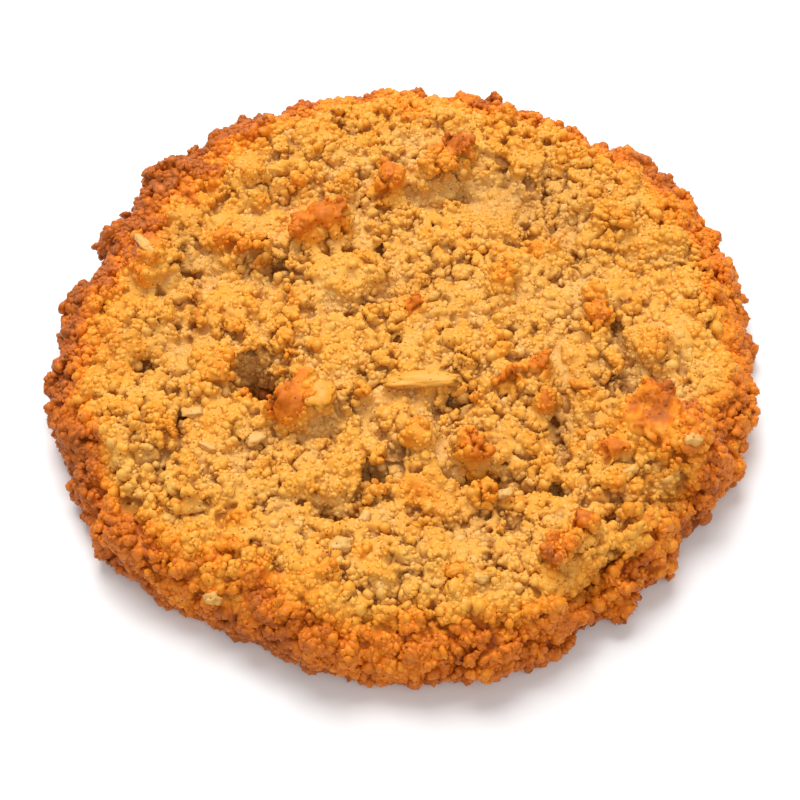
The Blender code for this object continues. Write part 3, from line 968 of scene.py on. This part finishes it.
# A grain's painted shade at its foot, and what each millimetre of a named hollow adds.
PAINTED_SHADE_AT_FOOT, FOOT_TO_TOP = 0.18, (-0.1, 0.7)
GRAIN_SHADE_IN_HOLLOW, GRAINS_MOST_HOLLOW = 0.36, 2.8

crumb_pieces = []
for number, (name, shape, spacing, least, most, sunk, for_rim, limit) in enumerate(CRUMB_KINDS):
    draw = np.random.default_rng(GRAINS_SEED + number)
    at, out = scatter(crust.data, spacing, draw)
    in_rim = (np.hypot(at[:, 0], at[:, 1]) > RIM_FROM) | (at[:, 2] < RIM_BELOW)
    open_to = np.where(sunken(at) > IN_HOLLOW, OPEN_TO_IN_HOLLOW, OPEN_TO)
    usable = (at[:, 2] > LOWEST_GRAIN) & (in_rim == for_rim) & (porous(at) < open_to)
    usable &= for_rim | (spots(at, TOASTED) < BARE_CREST)
    at, out = at[usable], out[usable]
    if len(at) > limit:
        print(name, "thinned from", len(at))
        picked = np.sort(draw.permutation(len(at))[:limit])
        at, out = at[picked], out[picked]
    pressed = smooth_step(*PRESSED_FROM, rough(at, PRESSED_SIZE))
    radii = least + (most - least) * draw.random(len(at)) ** MOSTLY_SMALL
    depths = radii * (sunk + SUNK_DEEPER[for_rim] * pressed * draw.random(len(at)))
    centres = at - out * depths[:, None]
    mesh = crumbs(name, shape, centres, radii, GRAIN_KNOBS, draw)
    mesh.shade_smooth()
    count = len(shape[0])
    above = places(mesh).reshape(-1, count, 3) - centres[:, None, :]
    above = np.einsum("nkj,nj->nk", above, out) / radii[:, None]
    # Painted shade: each grain darker at its foot against the skin, in named hollows and shaded
    # stretches.
    painted_shade = GRAIN_SHADE_IN_HOLLOW * np.clip(sunken(centres), 0.0, GRAINS_MOST_HOLLOW)
    painted_shade += spots(centres, SHADED)
    painted_shade = PAINTED_SHADE_AT_FOOT * (1.0 - smooth_step(*FOOT_TO_TOP, above)) + painted_shade[:, None]
    add_number(mesh, "painted_shade", np.clip(painted_shade, 0.0, 1.0).ravel())
    add_number(mesh, "brown", np.repeat(browning(centres), count))
    add_number(mesh, "tone", np.repeat(draw.random(len(centres)), count))
    piece = bpy.data.objects.new(name, mesh)
    bpy.context.scene.collection.objects.link(piece)
    crumb_pieces.append(piece)

# %% [markdown]
# ## Oat flakes
#
# A rolled oat is a flat oval of 3 to 10 mm. A few broken ones show in this crumb, paler
# than the dough, each in a place of its own. Each is a ball with more faces than a grain
# has, made lumpy, flattened, turned and pressed halfway into the crust.

# %% Lay the oat flakes
# x, y, length, width, thickness, heading, how brown, with all sizes in millimetres.
OAT_FLAKES = (
    (2.8, -8.0, 10.0, 2.3, 1.3, 2, 0.32),
    (-9.8, -11.8, 4.4, 3.0, 1.2, 60, 0.42),
    (-18.0, -15.4, 3.0, 1.8, 0.9, 30, 0.0),
    (-23.8, -17.1, 2.4, 1.1, 0.8, -20, 0.0),
    (-25.8, -12.1, 2.8, 1.6, 0.8, 0, 0.0),
    (-4.4, -27.1, 2.2, 1.2, 0.9, 70, 0.0),
    (-7.2, -31.6, 2.6, 1.8, 1.0, 0, 0.04),
    (-33.1, 11.4, 4.4, 1.2, 0.9, -50, 0.04),
    (-22.4, -36.6, 2.0, 1.6, 1.4, 0, 0.10),
    (9.1, -36.2, 1.9, 1.4, 1.1, 0, 0.10),
    (12.4, -24.3, 2.0, 1.3, 1.0, 20, 0.0),
    (35.1, -18.3, 2.2, 1.7, 1.4, 0, 0.08),
    (6.1, -35.2, 2.4, 1.6, 1.3, 10, 0.50),
    (3.4, 18.2, 2.8, 1.2, 1.0, 90, 0.30),
    (8.6, 17.7, 2.4, 1.2, 1.0, 85, 0.46),
    (27.8, -20.6, 2.4, 1.1, 0.9, 30, 0.1),
)
OATS_SEED = 7
# Depth and size of a flake's lumps, coarse then fine, and how far apart in the noise
# the flakes take theirs.
LUMPS, LUMPS_APART = ((0.5, 0.8), (0.3, 0.35)), 9.0
# How far a flake leans along and across, and how much of its thickness is pressed in.
LEAN_X, LEAN_Y, PRESSED_IN = 0.2, 0.1, 0.3
# A flake's tone, and the painted shade that dulls it all over.
OATS_TONE, OATS_PAINTED_SHADE = 0.4, 0.12

work = bmesh.new()
bmesh.ops.create_cube(work, size=2.0)
bmesh.ops.subdivide_edges(work, edges=work.edges, cuts=5, use_grid_fill=True)
corners, faces = shape_of(work)
draw = np.random.default_rng(OATS_SEED)
flakes = bmesh.new()
flakes_brown = []
for x, y, length, width, thickness, heading, brown in OAT_FLAKES:
    moved = corners + LUMPS_APART * draw.random(3)
    lumpy = 1.0
    for depth, size in LUMPS:
        lumpy = lumpy + depth * rough(moved, size)
    points = corners * lumpy[:, None] * np.array([length, width, thickness]) / 2.0
    i, j = map_cell(np.array([x, y]))
    ground = heights[i - 1 : i + 2, j - 1 : j + 2].max()
    lean = Matrix.Rotation(draw.uniform(-LEAN_X, LEAN_X), 4, "X")
    lean = lean @ Matrix.Rotation(draw.uniform(-LEAN_Y, LEAN_Y), 4, "Y")
    turn = Matrix.Rotation(math.radians(heading), 4, "Z") @ lean
    put = Matrix.Translation((x, y, ground - PRESSED_IN * thickness)) @ turn
    flake = bpy.data.meshes.new("flake")
    flake.from_pydata([put @ Vector(point) * MM for point in points], [], faces.tolist())
    flakes.from_mesh(flake)
    bpy.data.meshes.remove(flake)
    flakes_brown += [brown] * len(points)
oats = bpy.data.objects.new("oat_flakes", bpy.data.meshes.new("oat_flakes"))
flakes.to_mesh(oats.data)
flakes.free()
oats.data.shade_smooth()
bpy.context.scene.collection.objects.link(oats)
add_number(oats.data, "brown", np.array(flakes_brown))
add_number(oats.data, "tone", np.full(len(flakes_brown), OATS_TONE))
add_number(oats.data, "painted_shade", np.full(len(flakes_brown), OATS_PAINTED_SHADE))
crumb_pieces.append(oats)
print("oat flakes:", len(OAT_FLAKES), "with", len(flakes_brown), "points")

# %% [markdown]
# ## Materials
#
# Everything here is baked dough, a dry matt crumb of starch, fat and browned sugar. Its
# index of refraction is about 1.45 and it has no metal in it. The shade in gaps and pin
# holes is painted: light that enters a gap comes out warm, so the painted shade multiplies
# the dough's colour by a golden brown, not by grey.
# An attribute node reads each number that is stored on the points, by its name.

# %% Helpers for materials
def linear(hex_colour):
    """A colour as a shader takes it, from its sRGB hex value."""
    parts = [int(hex_colour[i : i + 2], 16) / 255.0 for i in (1, 3, 5)]
    flat = [p / 12.92 if p <= 0.04045 else ((p + 0.055) / 1.055) ** 2.4 for p in parts]
    return (*flat, 1.0)


def add(tree, kind, settings=(), links=()):
    """Adds a node. Settings name its properties or its sockets, and links feed its sockets."""
    node = tree.nodes.new(kind)
    for name, value in dict(settings).items():
        if isinstance(name, str) and hasattr(node, name):
            setattr(node, name, value)
        else:
            node.inputs[name].default_value = value
    for name, source in dict(links).items():
        tree.links.new(source, node.inputs[name])
    return node


# %% Baked dough, from raw dough to dark crust
CRUST_COLOURS = (
    (0.0, "#E2B062"),
    (0.12, "#E6AD54"),
    (0.24, "#EAAA46"),
    (0.38, "#EEA436"),
    (0.54, "#ED9322"),
    (0.68, "#E07A12"),
    (0.84, "#BE6216"),
    (1.0, "#965014"),
)
# The golden brown that painted shade multiplies the colour by.
PAINTED_SHADE_COLOUR = "#9E7028"
# Sizes in millimetres of what is too small to model: flecks, meal, pin holes and pores.
FLECK_SIZE, MEAL_SIZE, PIN_SPACING, PORE_SIZE = 0.9, 0.55, 1.0, 0.32
# How far flecks and meal move a point's browning up or down the scale.
FLECK_REACH, MEAL_REACH = 0.22, 0.12
# A pin hole's radius as shares of the spacing, where it sets in and where it is whole, and
# how dark the painted shade in a pin hole gets.
PIN_EDGE, DARKEST_PIN_SHADE = (0.20, 0.08), 0.85
BUMP_STRENGTH, BUMP_HEIGHT = 0.3, 0.07
IOR, SPECULAR = 1.45, 0.3


def baked_dough(name, tone_reach, roughness):
    """Dry baked crumb: matt, grainy, browned where the brown number is high."""
    material = bpy.data.materials.new(name)
    material.use_nodes = True
    tree = material.node_tree
    shader = tree.nodes["Principled BSDF"]
    place = add(tree, "ShaderNodeTexCoord").outputs["Object"]
    brown = add(tree, "ShaderNodeAttribute", {"attribute_name": "brown"}).outputs["Fac"]
    tone = add(tree, "ShaderNodeAttribute", {"attribute_name": "tone"}).outputs["Fac"]
    painted_shade = add(tree, "ShaderNodeAttribute", {"attribute_name": "painted_shade"}).outputs["Fac"]

    fleck_look = {"Scale": 1 / (FLECK_SIZE * MM), "Detail": 3.0, "Roughness": 0.6}
    fleck = add(tree, "ShaderNodeTexNoise", fleck_look, {"Vector": place}).outputs["Fac"]
    meal_look = {"Scale": 1 / (MEAL_SIZE * MM)}
    meal = add(tree, "ShaderNodeTexVoronoi", meal_look, {"Vector": place}).outputs["Distance"]
    total = brown
    for share, reach in ((fleck, FLECK_REACH), (tone, tone_reach), (meal, MEAL_REACH)):
        around_zero = {"operation": "MULTIPLY_ADD", 1: reach, 2: -reach / 2}
        moved = add(tree, "ShaderNodeMath", around_zero, {0: share}).outputs[0]
        total = add(tree, "ShaderNodeMath", {"operation": "ADD"}, {0: total, 1: moved}).outputs[0]

    scale = add(tree, "ShaderNodeValToRGB", {}, {"Fac": total})
    stops = scale.color_ramp.elements
    while len(stops) < len(CRUST_COLOURS):
        stops.new(0.5)
    for stop, (position, colour) in zip(stops, CRUST_COLOURS):
        stop.position = position
        stop.color = linear(colour)

    # Painted shade: pin holes and the number stored for shade darken the colour to golden brown.
    pin_look = {"Scale": 1 / (PIN_SPACING * MM)}
    seeds = add(tree, "ShaderNodeTexVoronoi", pin_look, {"Vector": place}).outputs["Distance"]
    pin_edge = {
        "interpolation_type": "SMOOTHSTEP",
        "From Min": PIN_EDGE[0],
        "From Max": PIN_EDGE[1],
        "To Max": DARKEST_PIN_SHADE,
    }
    pin = add(tree, "ShaderNodeMapRange", pin_edge, {"Value": seeds}).outputs["Result"]
    shade = add(tree, "ShaderNodeMath", {"operation": "MAXIMUM"}, {0: painted_shade, 1: pin}).outputs[0]
    multiply = {"data_type": "RGBA", "blend_type": "MULTIPLY", 7: linear(PAINTED_SHADE_COLOUR)}
    shaded = add(tree, "ShaderNodeMix", multiply, {0: shade, 6: scale.outputs["Color"]})
    tree.links.new(shaded.outputs[2], shader.inputs["Base Color"])

    pore_look = {"Scale": 1 / (PORE_SIZE * MM), "Detail": 3.0, "Roughness": 0.6}
    height = add(tree, "ShaderNodeTexNoise", pore_look, {"Vector": place}).outputs["Fac"]
    for hole in (meal, pin):
        minus = {"operation": "SUBTRACT"}
        height = add(tree, "ShaderNodeMath", minus, {0: height, 1: hole}).outputs[0]
    bump_look = {"Strength": BUMP_STRENGTH, "Distance": BUMP_HEIGHT * MM}
    bump = add(tree, "ShaderNodeBump", bump_look, {"Height": height})
    tree.links.new(bump.outputs["Normal"], shader.inputs["Normal"])
    shader.inputs["Roughness"].default_value = roughness
    shader.inputs["IOR"].default_value = IOR
    shader.inputs["Specular IOR Level"].default_value = SPECULAR
    print(name, "has", len(tree.nodes), "nodes")
    return material


crust_dough = baked_dough("baked_oat_dough", tone_reach=0.10, roughness=0.6)
crumb_dough = baked_dough("baked_oat_crumbs", tone_reach=0.15, roughness=0.42)
for piece in crust_pieces:
    piece.data.materials.clear()
    piece.data.materials.append(crust_dough)
for piece in crumb_pieces:
    piece.data.materials.append(crumb_dough)

# %% [markdown]
# ## Floor and light
#
# The cookie lies on white card under a large soft light from above and behind, so that
# each grain is bright on top, and the near side of every crag is in soft shade.

# %% Floor
# Just below the underside, so that the two flat faces don't flicker.
FLOOR_BELOW = 0.05
CARD_WHITE, CARD_ROUGHNESS = "#F4F4F4", 0.9

work = bmesh.new()
bmesh.ops.create_grid(work, x_segments=1, y_segments=1, size=2.0)
bmesh.ops.translate(work, vec=(0.0, 0.0, -FLOOR_BELOW * MM), verts=work.verts)
floor = bpy.data.objects.new("floor", bpy.data.meshes.new("floor"))
work.to_mesh(floor.data)
work.free()
bpy.context.scene.collection.objects.link(floor)
card = bpy.data.materials.new("white_card")
card.use_nodes = True
card_shader = card.node_tree.nodes["Principled BSDF"]
card_shader.inputs["Base Color"].default_value = linear(CARD_WHITE)
card_shader.inputs["Roughness"].default_value = CARD_ROUGHNESS
floor.data.materials.append(card)
print("floor, mm below the cookie:", FLOOR_BELOW)

# %% Lights
ROOM_LIGHT = 0.45


def softbox(name, place, size, watts):
    """A square light that faces the cookie."""
    light = bpy.data.lights.new(name, "AREA")
    light.size = size
    light.energy = watts
    lamp = bpy.data.objects.new(name, light)
    lamp.location = place
    lamp.rotation_euler = (-Vector(place)).to_track_quat("-Z", "Y").to_euler()
    bpy.context.scene.collection.objects.link(lamp)


softbox("key", place=(-0.07, 0.34, 0.60), size=0.46, watts=5.3)
softbox("fill", place=(0.10, -0.40, 0.50), size=0.50, watts=1.0)
world = bpy.data.worlds.new("studio")
world.use_nodes = True
background = world.node_tree.nodes["Background"]
background.inputs["Color"].default_value = (1.0, 1.0, 1.0, 1.0)
background.inputs["Strength"].default_value = ROOM_LIGHT
bpy.context.scene.world = world
bpy.context.scene.view_settings.view_transform = "Standard"
print("lights:", len(bpy.data.lights))

# %% [markdown]
# ## Hand over
#
# The crust stands for the solid cookie, and the crumbs ride on the same body.

# %% Ride, replace and finish
bpy.data.objects.remove(crust)
for piece in crust_pieces:
    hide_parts("cookie")
for piece in (*crust_pieces, *crumb_pieces):
    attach(piece, "root")
